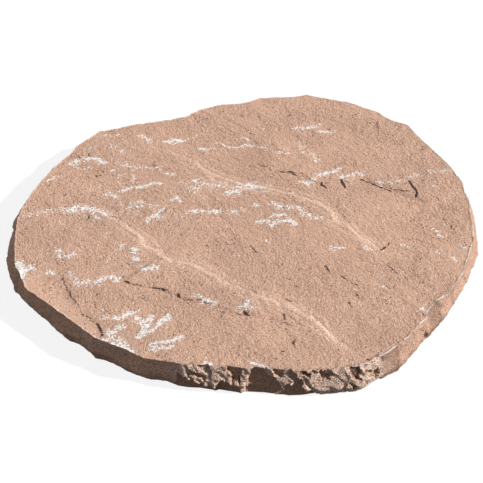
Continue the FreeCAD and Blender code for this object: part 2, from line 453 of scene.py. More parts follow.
# %% [markdown]
# ## The plain edge
# The edge is a grid of points: rows from the rim down to the foot, each all the way round, ruled
# straight between the four lines. Booleans could then cut the flakes out of it, but they leave
# ragged triangles. So in the next steps each point is pushed in along the ground by its own depth.

# %% The plain edge between its lines
AROUND = 1040
EDGE_ROWS = 24
CORNER_SOFTNESS = 9

closed_belly = np.vstack([BELLY, BELLY[:1]])
run_lengths = np.linalg.norm(np.diff(closed_belly, axis=0), axis=1)
girth_at_corner = np.concatenate([[0], np.cumsum(run_lengths)])
GIRTH = girth_at_corner[-1]


def along_line_of(corners, places):
    """Points of one closed line at fractional corner numbers."""
    first = np.floor(places).astype(int) % len(corners)
    share = (places % 1)[:, None]
    return corners[first] * (1 - share) + np.roll(corners, -1, axis=0)[first] * share


def edge_at(places, heights):
    """Points of the plain edge, straight from line to line at each place round the slab."""
    foot, belly, shoulder, rim = (
        along_line_of(line, places) for line in (FOOT, BELLY, SHOULDER, RIM))
    dip = SHOULDER_LIFT - shoulder[:, 0] * math.sin(SHOULDER_DIP)
    low_share = np.clip(heights / BELLY_LIFT, 0, 1)
    mid_share = np.clip((heights - BELLY_LIFT) / (dip - BELLY_LIFT), 0, 1)
    top_share = np.clip((heights - dip) / (RIM_LIFT - dip), 0, 1)
    plan = (foot + low_share[..., None] * (belly - foot) + mid_share[..., None] * (shoulder - belly)
            + top_share[..., None] * (rim - shoulder))
    return np.concatenate([plan, heights[..., None]], axis=-1)


def facing(places):
    """Outward direction on the ground at each place, eased over the corners."""
    ring = along_line_of(BELLY, places)
    way = np.roll(ring, -CORNER_SOFTNESS, axis=0) - np.roll(ring, CORNER_SOFTNESS, axis=0)
    out = np.stack([way[:, 1], -way[:, 0], np.zeros(len(way))], axis=1)
    return out / np.linalg.norm(out, axis=1, keepdims=True)


girths = np.arange(AROUND) / AROUND * GIRTH
places = np.interp(girths, girth_at_corner, np.arange(len(closed_belly)))
outward = facing(places)
rim_levels = np.full(AROUND, float(THICKNESS))
# The rim's height hangs on its place, and its place on its height, so both settle in two rounds
for _ in range(2):
    rim_plan = edge_at(places, rim_levels)
    rim_levels = cleft_level(rim_plan[:, 0], rim_plan[:, 1])
drops = np.linspace(1, 0, EDGE_ROWS + 1)[:, None]
plain_edge = edge_at(places, drops * rim_levels)
print(f"plain edge: {EDGE_ROWS + 1} rows of {AROUND} points, {GIRTH:.0f} mm round")

# %% [markdown]
# ## Large flakes
# A heavy blow splits off a large flake and leaves a hollow like a piece of a ball. Cutting balls
# out of the mesh would need Booleans again. Here a point's depth is worked out instead, as the way
# straight in to the far side of the ball.

# %% Large flakes
# Radius of the ball and how deep it bites, mm
FLAKE_RADIUS = 50
FLAKE_BITE = 3.5
# Run, height in mm and lean in degrees of each flake, below the rim and above the foot
LARGE_FLAKES = (*((run, SHOULDER_LIFT, 14) for run in (5, 10, 16, 32)),
                *((run, BELLY_LIFT, -30) for run in (3, 14, 19, 23, 24, 26)))


def strike(points, run, height, lean):
    """How far in each point goes to reach the far side of one flake's ball, which stands before the
    middle of a run, and 0 for points outside it."""
    place = run + 0.5
    spot = edge_at(np.array([place]), np.array([[height]]))[0, 0]
    aim = outward[np.argmin(np.abs(places - place))] * math.cos(math.radians(lean))
    aim[2] = math.sin(math.radians(lean))
    away = points - (spot + aim * (FLAKE_RADIUS - FLAKE_BITE))
    sunk = np.sum(away * outward, axis=-1)
    square = sunk ** 2 - np.sum(away ** 2, axis=-1) + FLAKE_RADIUS ** 2
    inside = np.sum(away ** 2, axis=-1) < FLAKE_RADIUS ** 2
    return np.where(inside, sunk + np.sqrt(np.maximum(square, 0)), 0)


flakes = np.max([strike(plain_edge, *flake) for flake in LARGE_FLAKES], axis=0)
print(f"{len(LARGE_FLAKES)} large flakes up to {flakes.max():.1f} mm deep")

# %% [markdown]
# ## Facets and splinters
# Between the flakes the stone breaks into small flat facets, each tilted its own way: a point of
# the edge belongs to the facet whose middle is nearest, and sinks to that facet's plane. Placing
# them by hand would take days, so they are scattered by seeded chance. Facets that draw back to the
# right catch the lamp, and most of the splinters at the front do.

# %% Facets and splinters
# Where the front starts and ends, by corner number
FRONT = (26.9, 30.5)
front_range = np.interp(FRONT, np.arange(len(closed_belly)), girth_at_corner)
# Count, range round the edge and range of heights in mm, slope round at the two ends of the range
# and its spread, slope up, and range of depths in mm: facets, chips of the rim, front splinters
FACET_KINDS = (
    (230, (0, GIRTH), (-1, 33), (0, 0), 0.16, 0.05, (0.3, 2.0)),
    (110, (0, GIRTH), (30, 34), (0, 0), 0.16, 0.5, (0.3, 1.4)),
    (150, front_range, (1, 33), (0.6, 0.3), 0.12, 0.3, (0.2, 1.0)),
)
# Spread of the slopes up, and the mm over which two facets blend
SLOPE_SPREAD = 0.15
FACET_BLEND = 0.5
# Reach and span in mm of the noise that bends the lines between facets
SHAKE = 2.5
SHAKE_SPAN = 8


def scattered(draw, count, girth_range, height_range, turns, turn_spread, tilt, depth_range):
    """Facets at random places, a row each: place round, height, slope round, slope up, depth."""
    girth = draw.uniform(*girth_range, count)
    return np.stack([
        girth, draw.uniform(*height_range, count),
        draw.normal(np.interp(girth, girth_range, turns), turn_spread),
        draw.normal(tilt, SLOPE_SPREAD, count), draw.uniform(*depth_range, count),
    ], axis=1)


def facet_depth(girths, heights, facets):
    """Depth at the nearest facet: its own depth plus its two slopes times the way from its middle.
    Where two facets meet they are blended by the exponent of how much nearer the nearest one is."""
    round_way = (girths[..., None] - facets[:, 0] + GIRTH / 2) % GIRTH - GIRTH / 2
    up_way = heights[..., None] - facets[:, 1]
    gap = np.hypot(round_way, up_way)
    share = np.exp((gap.min(axis=-1, keepdims=True) - gap) / FACET_BLEND)
    depth = facets[:, 4] + facets[:, 2] * round_way + facets[:, 3] * up_way
    return np.sum(share * depth, axis=-1) / np.sum(share, axis=-1)


draw = np.random.default_rng(5)
plain, chips, splinters = (scattered(draw, *kind) for kind in FACET_KINDS)
others = np.vstack([plain, chips])
others = others[(others[:, 0] < front_range[0]) | (others[:, 0] > front_range[1])]
shaken = [SHAKE * unevenness(plain_edge, SHAKE_SPAN, seed) for seed in (61, 62)]
facets = facet_depth(
    girths + shaken[0], plain_edge[..., 2] + shaken[1], np.vstack([splinters, others]))
print(f"{len(splinters)} splinters at the front, {len(others)} other facets")

# %% [markdown]
# ## Hollows in the front
# Along the front the beds have broken back and left hollows that the lamp doesn't reach, and
# painted shade darkens them further. Chance wouldn't put them where they are, so each is a closed
# line drawn on the front, and noise only makes its border ragged. Its floor is a plane that is
# turned away from the lamp.

# %% Hollows in the front
# Deepest place in mm, and a closed line of places along the front and heights in mm
POCKETS = (
    (6, ((-42, 33), (-33, 33), (-33, 28), (-40, 28))),
    (6, ((-50, 27), (-45, 26), (-39, 22), (-33, 19), (-34, 17), (-40, 18), (-45, 23), (-50, 17))),
    (6, ((-60, 23), (-51, 17), (-45, 15), (-42, 12), (-36, 11), (-31, 8), (-27, 5), (-27, -2),
        (-61, -2))),
    (6, ((-17, 36), (-10, 38), (-4, 32), (-2, 26), (-3, 19), (-4, 11), (-7, 17), (-11, 14),
        (-13, 23), (-16, 28))),
    (6, ((-21, 17), (-13, 13), (-10, 11), (-6, 14), (-3, -2), (-25, -2), (-25, 9))),
    (6, ((7, 33), (13, 33), (17, 29), (24, 24), (31, 19), (31, 13), (34, 9), (38, -2), (-1, -2),
        (3, 17), (5, 27))),
    (6, ((12, 37), (17, 36), (19, 29), (16, 31))),
    (6, ((25, 33), (32, 33), (36, 32), (35, 26), (32, 22), (28, 24), (25, 27))),
    (6, ((38, 28), (42, 32), (45, 29), (48, 24), (52, 20), (52, 15), (53, 10), (59, 7), (66, 4),
        (69, -2), (33, -2), (34, 9), (36, 16), (42, 16), (42, 21), (39, 24))),
    (5, ((48, 34), (52, 34), (58, 30), (57, 25), (53, 25), (49, 29))),
    (6, ((66, 33), (69, 31), (74, 28), (80, 24), (76, 21), (73, 20), (70, 18), (68, 23),
        (66, 28))),
    (5, ((94, 32), (95, 35), (102, 32), (103, 24), (104, 18), (101, 17), (97, 18), (94, 20))),
    (5, ((94, 17), (97, 12), (101, 11), (99, 6), (96, 8))),
    (5, ((106, 26), (122, 16), (121, 11), (117, 10), (116, 16), (108, 21))),
    (5, ((106, 13), (110, 6), (113, 2), (106, 6))),
)
# Least depth of a hollow and thickness of its wall, mm
POCKET_LEAST = 1.6
POCKET_WALL = 0.8
# The way that the floors face: its turn on the ground, and how far it points down
POCKET_TURN = math.radians(-107)
POCKET_DIP = -0.05
POCKET_FACING = np.array([math.cos(POCKET_TURN), math.sin(POCKET_TURN), POCKET_DIP])
# Reach and span in mm, and seed, of the noise on their borders
RAGGED = ((2.5, 6, 63), (1.8, 3, 65))

ragged = [sum(reach * unevenness(plain_edge, span, seed + axis) for reach, span, seed in RAGGED)
          for axis in (0, 1)]


def hollow(deepest, line):
    """Depth of one hollow and its share of each point of the edge. The depth is the way in to the
    plane of its floor. A point is inside if a level ray from it crosses the line an odd number of
    times."""
    along, heights = plain_edge[..., 0] + ragged[0], plain_edge[..., 2] + ragged[1]
    ring = np.array([*line, line[0]], dtype=float)
    (x0, z0), (x1, z1) = ring[:-1].T, ring[1:].T
    gap, _ = beside_line(along, heights, ring)
    spanned = (z0 > heights[..., None]) != (z1 > heights[..., None])
    crossing = x0 + (heights[..., None] - z0) / np.where(z1 == z0, 1, z1 - z0) * (x1 - x0)
    inside = np.sum(spanned & (crossing > along[..., None]), axis=-1) % 2 == 1
    inside &= plain_edge[..., 1] < 0
    depth = np.sum(plain_edge * POCKET_FACING, axis=-1) / np.sum(outward * POCKET_FACING, axis=-1)
    depth = np.clip(POCKET_LEAST + depth - depth[inside].min(), POCKET_LEAST, deepest)
    return depth, np.where(inside, smooth_step(np.abs(gap) / POCKET_WALL), 0)


hollows = [hollow(*pocket) for pocket in POCKETS]
in_pocket = np.max([share for _, share in hollows], axis=0)
print(f"{len(POCKETS)} hollows on {np.mean(in_pocket > 0.5):.1%} of the edge")

# %% [markdown]
# ## Break the edge
# The depths of flakes, facets and grit are added up, and a hollow's floor takes their place. They
# could all run out over the rim, but then its line would be lost, so they fade towards the rim and
# the foot.

# %% Break the edge
# Fades in mm, and the share of the depth that still reaches the rim and the foot; at the front the
# rim is broken back further, over this many corners to each side
RIM_FADE = 3
RIM_SHARE = 0.45
FRONT_RIM_SHARE = 0.6
FRONT_REACH = 3
FOOT_FADE = 5
FOOT_SHARE = 0.5
# How much of the facets' depth each stretch of the edge has, by corner number
FACET_SHARES = ((0, 0.3), (4, 0.4), (8, 0.6), (20, 0.6), (22, 0.45), (26.5, 0.5), (27, 1),
                (30.3, 1), (30.8, 0.45), (35, 0.3))
# Span of the grit and its depth in mm, and by how much the depth changes at the front
EDGE_GRIT = ((11, 0.9, -0.3), (5.5, 1.0, -0.7), (3, 0.9, -0.7))
GRIT_MEAN = 0.15
GRIT_SWING = 0.5
# Painted shade in a deep hollow and in a shallow one, and the depth in mm that parts them
DEEP_PAINTED_SHADE = 0.6
SHALLOW_PAINTED_SHADE = 1
SHALLOW = 5


def by_corner(places, table):
    """Values at fractional corner numbers, straight between the rows of a table."""
    return np.interp(places, *zip(*table))


near_rim = smooth_step((plain_edge[0, :, 2] - plain_edge[..., 2]) / RIM_FADE)
near_foot = smooth_step(plain_edge[..., 2] / FOOT_FADE)
at_front = smooth_step(1 - np.abs(places - np.mean(FRONT)) / FRONT_REACH)
rim_share = RIM_SHARE + (FRONT_RIM_SHARE - RIM_SHARE) * at_front
low_fade = FOOT_SHARE + (1 - FOOT_SHARE) * near_foot
fade = (rim_share + (1 - rim_share) * near_rim) * low_fade
pocket_fade = (RIM_SHARE + (1 - RIM_SHARE) * near_rim) * low_fade
depth = flakes + np.maximum(facets, 0) * fade * by_corner(places, FACET_SHARES)
for seed, (span, rough, more) in enumerate(EDGE_GRIT, start=51):
    grit = GRIT_MEAN + GRIT_SWING * unevenness(plain_edge, span, seed)
    depth = depth + (rough + more * at_front * near_rim * near_foot) * grit
# Painted shade in the hollows: a share of darkening at each point of the edge
painted_shade = np.zeros_like(depth)
for (deepest, _), (floor_depth, share) in zip(POCKETS, hollows):
    depth = depth + share * (floor_depth * pocket_fade - depth)
    painted_shade = np.maximum(painted_shade, share * (DEEP_PAINTED_SHADE if deepest > SHALLOW else SHALLOW_PAINTED_SHADE))
edge = plain_edge - depth[..., None] * outward
edge[..., :2] = np.clip(edge[..., :2], -HALF_SPANS, HALF_SPANS)
edge[0, :, 2] = cleft_level(edge[0, :, 0], edge[0, :, 1])
print(f"edge broken {depth.mean():.1f} mm deep on average, {depth.max():.1f} mm at most")

# %% [markdown]
# ## One closed surface
# The walking face fills the rim with square rings, each a smaller copy of the rim, so its cells
# stay nearly square. A fan from the middle would be simpler, but all its triangles would meet in
# one point and show. The bed face is filled the same way with a fifth of the points along its line,
# and a row of triangles joins it to the foot.

# %% Fill a closed line with square rings
def ring_places(cells):
    """For each corner of a square of cells: its ring, from 0 in the middle to 1, and its share of
    the way round that ring. The number of cells is even, so that the rings close."""
    steps = np.arange(cells + 1) - cells // 2
    a, b = np.meshgrid(steps, steps, indexing="ij")
    ring = np.maximum(np.abs(a), np.abs(b))
    passed = np.select([b == -ring, a == ring, b == ring], [a + ring, 3 * ring + b, 5 * ring - a],
                       7 * ring - b)
    return ring / (cells // 2), passed / np.maximum(8 * ring, 1)


def fill(line, cells):
    """Plan of the points inside a closed line: the ring's share of the line's own points."""
    ring, passed = ring_places(cells)
    closed = np.vstack([line, line[:1]])
    where = passed * len(line)
    plan = [np.interp(where, np.arange(len(closed)), closed[:, axis]) for axis in (0, 1)]
    return ring[..., None] * np.stack(plan, axis=-1)


def square_faces(cells, first):
    """Four corners of each cell, anticlockwise from above."""
    corner = first + np.arange((cells + 1) ** 2).reshape(cells + 1, cells + 1)
    return np.stack([corner[:-1, :-1], corner[1:, :-1], corner[1:, 1:], corner[:-1, 1:]],
                    axis=-1).reshape(-1, 4)


def round_order(cells, first):
    """Numbers of the points on the outer ring, in their order round it."""
    ring, passed = ring_places(cells)
    outer = np.flatnonzero(ring.ravel() == 1)
    return first + outer[np.argsort(passed.ravel()[outer])]


SHARP_ANGLE = math.radians(38)
TOP_CELLS = AROUND // 4
# Points of the foot to each point of the bed face
BED_STEP = 5
BED_CELLS = TOP_CELLS // BED_STEP
BED_SHARE = 0.985
top_plan = fill(edge[0, :, :2], TOP_CELLS)
top_points = np.concatenate(
    [top_plan, cleft_level(top_plan[..., 0], top_plan[..., 1])[..., None]], axis=-1).reshape(-1, 3)
bed_plan = fill(edge[-1, ::BED_STEP, :2] * BED_SHARE, BED_CELLS)
bed_points = np.concatenate([bed_plan, np.zeros(bed_plan.shape[:2] + (1,))], axis=-1).reshape(-1, 3)
print(f"walking face {len(top_points)} points, bed face {len(bed_points)} points")

# %% Join them
edge_first = len(top_points)
bed_first = edge_first + EDGE_ROWS * AROUND
rows = np.vstack([round_order(TOP_CELLS, 0)[None],
                  edge_first + np.arange(EDGE_ROWS * AROUND).reshape(EDGE_ROWS, AROUND)])
following = np.roll(rows, -1, axis=1)
edge_faces = np.stack([rows[:-1], rows[1:], following[1:], following[:-1]], axis=-1).reshape(-1, 4)
bed_row = round_order(BED_CELLS, bed_first)
bed_next = np.roll(bed_row, -1)
# The foot's points that go with each point of the bed, and the first of the next one's
fine = [*(rows[-1, number::BED_STEP] for number in range(BED_STEP)),
        np.roll(rows[-1, ::BED_STEP], -1)]
half_way = BED_STEP // 2
seam_faces = np.concatenate([
    *(np.stack([fine[number + 1], fine[number], bed_row if number < half_way else bed_next], axis=1)
      for number in range(BED_STEP)),
    np.stack([fine[half_way], bed_row, bed_next], axis=1),
])
points = np.vstack([top_points, edge[1:].reshape(-1, 3), bed_points])
faces = [*square_faces(TOP_CELLS, 0).tolist(), *edge_faces.tolist(), *seam_faces.tolist(),
         *square_faces(BED_CELLS, bed_first)[:, ::-1].tolist()]
slab_mesh = bpy.data.meshes.new("riven_slab")
slab_mesh.from_pydata((points * MM).tolist(), [], faces)
slab_mesh.polygons.foreach_set("use_smooth", np.ones(len(faces), dtype=bool))
slab_mesh.update()
slab_mesh.set_sharp_from_angle(angle=SHARP_ANGLE)
slab = bpy.data.objects.new("riven_slab", slab_mesh)
bpy.context.collection.objects.link(slab)
triangles = sum(len(face) - 2 for face in faces)
print(f"riven slab: {len(points)} points, {triangles} triangles, "
      f"mesh faults mended: {slab_mesh.validate()}")

# %% [markdown]
# ## Scuffs, glints and cracks
# Pale scuffs lie where other slabs have rubbed on this one, and their white dots are partly painted
# highlight. Cracks are short and thin, and follow the layers; their dark colour is painted shade.
# An image would hold them, but only from one side. So each is drawn as a line of places on the
# walking face, and every point of it keeps how near it is to one, so that the finish can break the
# line up into grains.

# %% Scuffs and painted glints
# Strength, half breadth in mm, places in mm
RUBS_AND_GLINTS = (
    (1, 6, ((-80, 127), (-72, 129), (-64, 129))), (0.8, 4, ((-59, 131), (-52, 134), (-46, 140))),
    (0.7, 4, ((-74, 121), (-66, 124))), (1, 6, ((-154, 97), (-147, 95), (-141, 90))),
    (0.75, 8, ((-174, 88), (-166, 95), (-154, 98))),
    (0.7, 4, ((-169, 83), (-161, 80), (-155, 82))),
    (0.8, 4, ((-196, 60), (-190, 65), (-181, 70))), (0.7, 8, ((-106, 138), (-98, 129))),
    (0.8, 4, ((-46, 114), (-33, 114))),
    (0.8, 4, ((-27, 124), (-19, 119), (-14, 115), (-4, 115), (2, 119))),
    (1, 4, ((-121, 43), (-115, 47), (-109, 51))),
    (1, 4, ((-105, 49), (-99, 52), (-93, 57), (-83, 55))),
    (0.75, 6, ((-138, 36), (-134, 41), (-126, 33))), (0.75, 4, ((-124, 22), (-121, 25))),
    (0.75, 6, ((-111, 17), (-106, 24), (-99, 25))),
    (1, 4, ((-94, -4), (-89, 2), (-84, 8), (-77, 14))), (0.9, 4, ((-85, 2), (-76, 0))),
    (0.8, 4, ((-72, 27), (-67, 33), (-62, 25))),
    (0.62, 8, ((-215, 0), (-199, 10), (-180, 14), (-168, 16))),
    (1, 6, ((-169, 14), (-162, 19), (-150, 14))),
    (0.8, 8, ((-173, 11), (-150, 13), (-136, 8), (-130, 5))), (0.65, 8, ((-150, 5), (-140, -3))),
    (0.75, 6, ((-54, 10), (-39, 10), (-23, 10))), (0.65, 12, ((-53, 46), (-39, 52), (-19, 49))),
    (0.7, 4, ((-133, 77), (-121, 87), (-105, 82), (-84, 82))), (0.7, 4, ((-79, 73), (-66, 69))),
    (0.75, 4, ((-51, 57), (-44, 59))), (0.6, 6, ((-162, 112), (-154, 114))),
    (0.8, 4, ((2, 119), (13, 117), (25, 110))), (0.8, 4, ((33, 105), (47, 103))),
    (0.8, 3, ((50, 97), (52, 97))), (0.8, 4, ((-2, 131), (6, 129))),
    (0.75, 3, ((40, 157), (42, 157))), (0.75, 6, ((53, 150), (64, 148), (78, 154), (82, 157))),
    (0.85, 4, ((77, 143), (92, 143))), (0.85, 6, ((76, 67), (83, 70), (90, 75), (100, 80))),
    (0.8, 6, ((56, 57), (64, 55), (72, 60))),
    (0.8, 6, ((98, 64), (106, 67), (115, 72), (120, 69))),
    (0.75, 4, ((141, 57), (152, 59), (160, 60))), (0.75, 4, ((135, 57), (138, 52))),
    (0.75, 4, ((189, 52), (193, 52))), (0.65, 6, ((188, 75), (204, 75))),
    (0.65, 6, ((165, 64), (172, 69))), (0.75, 14, ((-12, 39), (6, 49), (18, 47))),
    (0.7, 6, ((72, 102), (73, 92))), (0.75, 8, ((29, 20), (40, 14), (55, 13))),
    (0.75, 6, ((9, 17), (13, 17))), (0.7, 8, ((-12, 8), (-4, 11))), (1, 5, ((14, -6), (22, -7))),
    (0.9, 6, ((25, -1), (31, 3), (39, 0))), (0.9, 6, ((27, -13), (33, -7), (43, -6), (50, -12))),
    (0.75, 8, ((58, 5), (66, -1), (76, -4))), (0.8, 4, ((182, -13), (186, -17))),
    (0.85, 4, ((187, -23), (192, -24))), (0.8, 4, ((206, -37), (210, -43))),
    (0.8, 5, ((196, -54), (202, -59))), (1, 5, ((213, -59), (209, -71))),
    (0.75, 4, ((152, -40), (157, -42))), (0.75, 4, ((21, -36), (23, -36))),
    (0.7, 6, ((116, -46), (125, -49))), (0.65, 6, ((84, -49), (91, -46))),
    (0.75, 4, ((126, -95), (129, -98))), (0.8, 4, ((107, -121), (110, -120))),
    (0.7, 8, ((161, -128), (171, -131))), (0.8, 8, ((-2, -130), (5, -125), (8, -131))),
    (0.65, 4, ((183, -48), (190, -49))),
    (0.85, 6, ((-176, -49), (-174, -58), (-168, -59), (-161, -55))),
    (1, 10, ((-213, -67), (-208, -75), (-208, -87))), (1, 8, ((-209, -78), (-200, -74))),
    (0.9, 5, ((-183, -81), (-179, -82))), (0.85, 4, ((-162, -82), (-159, -85), (-155, -92))),
    (0.75, 9, ((-156, -97), (-138, -97), (-129, -90), (-117, -90))),
    (0.7, 4, ((-120, -49), (-112, -43))), (0.75, 8, ((-105, -49), (-101, -65))),
    (0.95, 7, ((-92, -80), (-88, -78), (-82, -78))), (0.75, 4, ((-67, -80), (-65, -85))),
    (0.75, 6, ((-47, -116), (-39, -116))), (1, 5, ((-36, -120), (-29, -124), (-25, -124))),
    (1, 6, ((-117, -144), (-110, -142), (-104, -138))), (0.7, 6, ((-126, -143), (-121, -142))),
    (0.75, 4, ((-102, -136), (-94, -135))), (1, 6, ((-122, -164), (-116, -161))),
    (0.9, 6, ((-115, -158), (-111, -154))), (1, 6, ((-125, -173), (-122, -171), (-119, -168))),
    (1, 7, ((-117, -177), (-111, -180), (-107, -183))),
    (0.8, 8, ((-112, -168), (-106, -180), (-99, -186))),
    (1, 4, ((-95, -169), (-91, -165), (-90, -156), (-87, -152))),
    (1, 4, ((-92, -163), (-84, -160), (-77, -154), (-72, -148), (-66, -144))),
    (1, 4, ((-76, -147), (-71, -143), (-67, -138))),
    (0.9, 5, ((-83, -178), (-73, -174), (-64, -173), (-56, -168))),
    (0.9, 5, ((-84, -183), (-78, -182), (-69, -181), (-64, -180))),
    (0.75, 8, ((-98, -144), (-89, -150), (-83, -144))), (0.8, 4, ((-128, -132), (-126, -131))),
    (1, 4, ((7, -201), (12, -202), (21, -206))), (0.8, 4, ((-46, -204), (-38, -204))),
    (0.8, 4, ((-36, -202), (-29, -201))), (0.5, 9, ((-137, 121), (-124, 109))),
    (0.5, 8, ((-132, 95), (-119, 87))), (0.65, 3, ((-111, 82), (-109, 52))),
    (0.55, 7, ((-126, 69), (-123, 52))), (0.4, 7, ((-85, 55), (-54, 55), (-29, 52))),
    (0.65, 8, ((-112, 22), (-98, 17))), (0.55, 8, ((-94, 20), (-86, 17))),
    (0.55, 7, ((-25, 10), (-2, 6))), (0.55, 7, ((-70, 6), (-58, 0))),
    (0.45, 8, ((-115, 10), (-99, 6))), (0.55, 6, ((-184, -7), (-178, -7))),
    (0.45, 9, ((-137, -21), (-129, -30))), (0.5, 5, ((-114, -45), (-124, -58), (-133, -74))),
    (0.5, 4, ((-108, -74), (-92, -74))), (0.45, 12, ((56, 124), (70, 95))),
    (0.5, 9, ((-144, 138), (-128, 140))), (0.45, 10, ((-22, 52), (-10, 46))),
)
# How far a line spreads beyond its half breadth, and the reach and span in mm and the seed of the
# noise that makes it wander
RUB_AND_GLINT_SPREAD = 1.15
RUB_AND_GLINT_WANDER = (3, 9, 71)


def drawn(x, y, lines, spread=1.0):
    """Strength of the strongest line at each place, full on the line and gone at its half
    breadth."""
    cover = np.zeros_like(x)
    for strength, breadth, line in lines:
        gap, _ = beside_line(x, y, np.array(line))
        cover = np.maximum(cover, strength * np.clip(1 - np.abs(gap) / (spread * breadth), 0, 1))
    return cover


top_x, top_y = top_points[:, 0], top_points[:, 1]
# Scuffs and the painted glints in them: how near each point is to a line
rub_and_glint = drawn(*wobbled(top_x, top_y, *RUB_AND_GLINT_WANDER), RUBS_AND_GLINTS, RUB_AND_GLINT_SPREAD)
print(f"{len(RUBS_AND_GLINTS)} scuffs on {np.mean(rub_and_glint > 0.3):.1%} of the face")

# %% Cracks with painted shade
# Strength, half breadth and places as for the scuffs
SHADED_CRACKS = (
    (1.25, 2.2, ((165, 59), (168, 51), (171, 43), (171, 33))),
    (1.15, 2.4, ((97, 59), (99, 54), (101, 49))), (0.8, 1.6, ((102, 57), (106, 57))),
    (1.1, 2.2, ((77, 55), (78, 52), (82, 47))), (1, 1.8, ((36, 75), (38, 73))),
    (0.8, 1.6, ((47, 73), (54, 67))), (0.75, 1.6, ((19, 83), (22, 78))),
    (0.9, 1.8, ((117, 62), (121, 60), (128, 55), (135, 51), (141, 47), (147, 43))),
    (0.85, 1.7, ((150, 46), (157, 43), (165, 43))), (0.95, 1.7, ((139, 161), (140, 150))),
    (0.8, 1.6, ((183, 121), (183, 112))), (0.8, 1.6, ((-4, 177), (1, 166))),
    (0.75, 1.6, ((16, 172), (20, 161))), (0.85, 1.7, ((72, 175), (74, 175))),
    (0.75, 1.6, ((86, 150), (96, 141))), (0.75, 1.6, ((178, 41), (183, 39), (193, 28))),
    (0.8, 1.6, ((200, -6), (203, -15))), (0.75, 1.5, ((191, 3), (197, -1))),
    (1, 1.7, ((130, -48), (134, -42), (139, -36))), (0.85, 1.6, ((6, -42), (12, -52))),
    (0.8, 1.6, ((89, -36), (91, -42))), (0.8, 1.6, ((165, -29), (171, -35))),
    (0.85, 1.6, ((166, -57), (167, -59))), (0.8, 1.6, ((77, -72), (78, -75))),
    (0.85, 1.7, ((90, -85), (96, -91), (100, -95), (105, -98))),
    (0.85, 1.7, ((103, -106), (106, -116))), (0.9, 1.7, ((38, -116), (44, -120))),
    (0.9, 1.7, ((96, -120), (99, -127))), (0.75, 1.6, ((134, -67), (140, -74))),
    (0.75, 1.6, ((132, -97), (136, -102))), (1, 2, ((-1, -136), (5, -140))),
    (1, 2, ((36, -139), (37, -146))), (0.95, 1.8, ((-112, -87), (-111, -94), (-107, -98))),
    (0.85, 1.7, ((-76, -106), (-72, -108))), (0.95, 2, ((-60, -113), (-59, -115))),
    (0.8, 1.7, ((-55, -119), (-49, -120), (-40, -121))),
    (0.9, 1.9, ((-169, -87), (-165, -99), (-161, -109), (-157, -117), (-152, -124))),
    (0.8, 1.7, ((-146, -138), (-141, -143), (-136, -147))),
    (1.05, 2.2, ((-133, -150), (-128, -160), (-127, -167))),
    (0.85, 1.7, ((-136, -127), (-135, -131))), (0.8, 1.6, ((-132, -134), (-129, -136))),
    (0.75, 1.6, ((-195, -68), (-195, -74))), (0.75, 1.6, ((-178, -61), (-173, -72))),
    (1, 1.8, ((119, -187), (118, -192), (115, -197))), (1, 2, ((108, -196), (110, -196))),
    (0.8, 1.6, ((44, -173), (45, -181))), (0.9, 1.7, ((27, -195), (28, -196))),
    (0.9, 1.6, ((-168, 102), (-166, 98))), (0.9, 1.6, ((-149, 69), (-147, 67))),
    (0.85, 1.6, ((-151, 5), (-150, -3))), (0.8, 1.6, ((-147, 77), (-145, 72))),
    (0.8, 1.6, ((-158, 107), (-157, 103))), (0.75, 1.6, ((-110, -70), (-104, -74))),
    (0.85, 1.7, ((-149, 69), (-143, 69))), (0.8, 1.5, ((-142, 75), (-141, 77))),
    (0.66, 2.2, ((-107, -98), (-90, -103), (-75, -105), (-68, -110), (-60, -115), (-53, -119),
        (-40, -121), (-29, -125))), (0.62, 2, ((-27, -134), (-11, -136), (-1, -139))),
    (0.62, 2, ((22, -144), (33, -148), (45, -154))),
    (0.85, 1.6, ((76, -72), (79, -78), (81, -82))),
    (0.78, 1.5, ((134, -67), (139, -74), (144, -81))),
    (0.85, 1.7, ((43, -174), (45, -171), (46, -173), (45, -178))),
    (0.8, 1.6, ((28, -195), (34, -187), (39, -182))), (0.85, 1.6, ((39, -87), (43, -90))),
    (0.85, 1.6, ((47, -98), (51, -101))), (0.85, 1.6, ((-36, -40), (-32, -45))),
    (0.8, 1.5, ((-17, -37), (-15, -40))),
    (0.7, 1.9, ((17, 84), (22, 80), (36, 75), (45, 72), (56, 66))),
    (0.72, 2, ((-152, -124), (-149, -131), (-146, -138))),
)
CRACK_WANDER = (1.5, 6, 73)

# Cracks, painted as lines of shade: how near each point is to one
crack_shade = drawn(*wobbled(top_x, top_y, *CRACK_WANDER), SHADED_CRACKS)
print(f"{len(SHADED_CRACKS)} cracks on {np.mean(crack_shade > 0.3):.1%} of the face")

# %% [markdown]
# ## Fresh breaks, painted light and painted shade
# The risers and the rim broke last, so they are paler and smoother; on the risers the paleness is
# partly painted highlight. The edge is granular where it splintered, and painted paler there,
# partly as a fresh break and partly as painted light. Painted shade darkens the hollows, a few
# patches on the right and, faintly, the whole edge. These could be painted on by hand, but as
# tables by corner number they keep to the edge when it is moved.

# %% Risers, rim and edge
# A smooth tread in front of the fourth layer: strength, half breadth in mm, places in mm
SMOOTH_TREAD = ((1.0, 16, ((-200, -84), (-182, -112), (-162, -138), (-144, -158))),)
